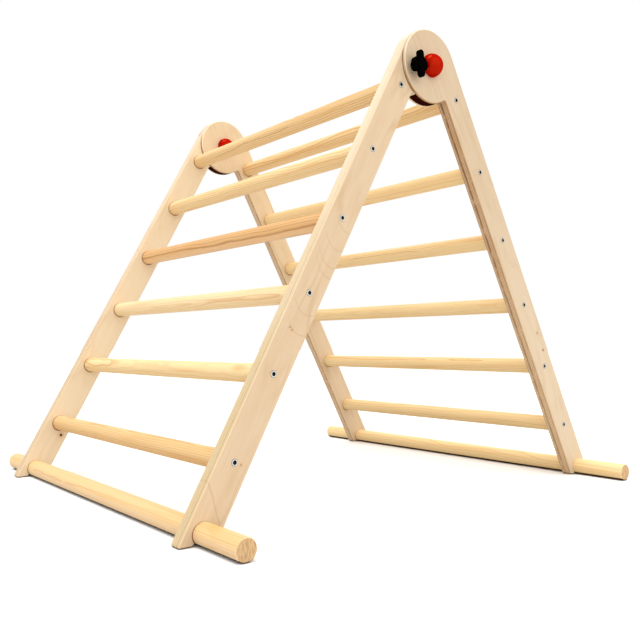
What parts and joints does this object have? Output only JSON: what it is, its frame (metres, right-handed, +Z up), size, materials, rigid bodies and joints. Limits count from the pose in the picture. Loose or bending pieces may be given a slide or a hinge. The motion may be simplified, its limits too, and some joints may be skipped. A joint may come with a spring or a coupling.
{
  "type": "climbing triangle",
  "caption": "Folding wooden climbing triangle for small children: two ladder panels of round rungs hinged at disc-shaped heads, each locked by a knob, standing on round floor bars.",
  "frame": {"origin": "centre of the standing triangle's footprint, on the floor", "axes": "+Z up; +Y along the hinge axis and the rungs; +X towards panel B's foot, panel A's foot is at -X"},
  "size_m": [0.9648, 0.9156, 0.8195],
  "materials": {
    "birch_ply": "clear satin lacquer",
    "pine_dowel": "clear satin lacquer",
    "dark_lining": "dark brown, satin, finely ribbed",
    "red_dome": "glossy",
    "black_knob": "fine matt texture",
    "zinc_steel": "zinc plated",
    "brass": "plain"
  },
  "bodies": {
    "panel_a": {"stile_a_near": "birch_ply", "stile_a_far": "birch_ply", "rung_a1": "pine_dowel", "rung_a2": "pine_dowel", "rung_a3": "pine_dowel", "rung_a4": "pine_dowel", "rung_a5": "pine_dowel", "rung_a6": "pine_dowel", "floor_bar_a": "pine_dowel", "rung_screws_a_near": "zinc_steel", "rung_screws_a_far": "zinc_steel", "rim_lining_near": "dark_lining", "axle_far": "zinc_steel", "outer_dome_far": "red_dome", "inner_dome_far": "red_dome", "lock_bolt_far": "zinc_steel", "lock_washer_far": "zinc_steel"},
    "panel_b": {"stile_b_near": "birch_ply", "stile_b_far": "birch_ply", "rung_b1": "pine_dowel", "rung_b2": "pine_dowel", "rung_b3": "pine_dowel", "rung_b4": "pine_dowel", "rung_b5": "pine_dowel", "rung_b6": "pine_dowel", "floor_bar_b": "pine_dowel", "rung_screws_b_near": "zinc_steel", "rung_screws_b_far": "zinc_steel", "rim_lining_far": "dark_lining", "axle_near": "zinc_steel", "outer_dome_near": "red_dome", "inner_dome_near": "red_dome", "lock_bolt_near": "zinc_steel", "lock_washer_near": "zinc_steel"},
    "insert_near": {"knob_insert_near": "brass"},
    "knob_near": {"lock_knob_near": "black_knob"},
    "insert_far": {"knob_insert_far": "brass"},
    "knob_far": {"lock_knob_far": "black_knob"}
  },
  "joints": [
    {"name": "fold", "type": "hinge", "parent": "panel_a", "child": "panel_b", "pos_m": [0, 0, 0.75555], "axis": [0, 1, 0], "range_deg": [0, 57.2]},
    {"name": "knob_near_travel", "type": "slide", "parent": "panel_b", "child": "insert_near", "axis": [0, -1, 0], "range_m": [0, 0.0025]},
    {"name": "knob_near_turn", "type": "hinge", "parent": "insert_near", "child": "knob_near", "pos_m": [-0.0431, -0.3594, 0.74448], "axis": [0, -1, 0], "range_deg": [0, 720]},
    {"name": "knob_far_travel", "type": "slide", "parent": "panel_a", "child": "insert_far", "axis": [0, 1, 0], "range_m": [0, 0.0025]},
    {"name": "knob_far_turn", "type": "hinge", "parent": "insert_far", "child": "knob_far", "pos_m": [0.0431, 0.3594, 0.74448], "axis": [0, 1, 0], "range_deg": [0, 720]}
  ],
  "couplings": [
    {"joint": "knob_near_travel", "follows": "knob_near_turn", "m_per_rad": 0.00019894},
    {"joint": "knob_far_travel", "follows": "knob_far_turn", "m_per_rad": 0.00019894}
  ]
}
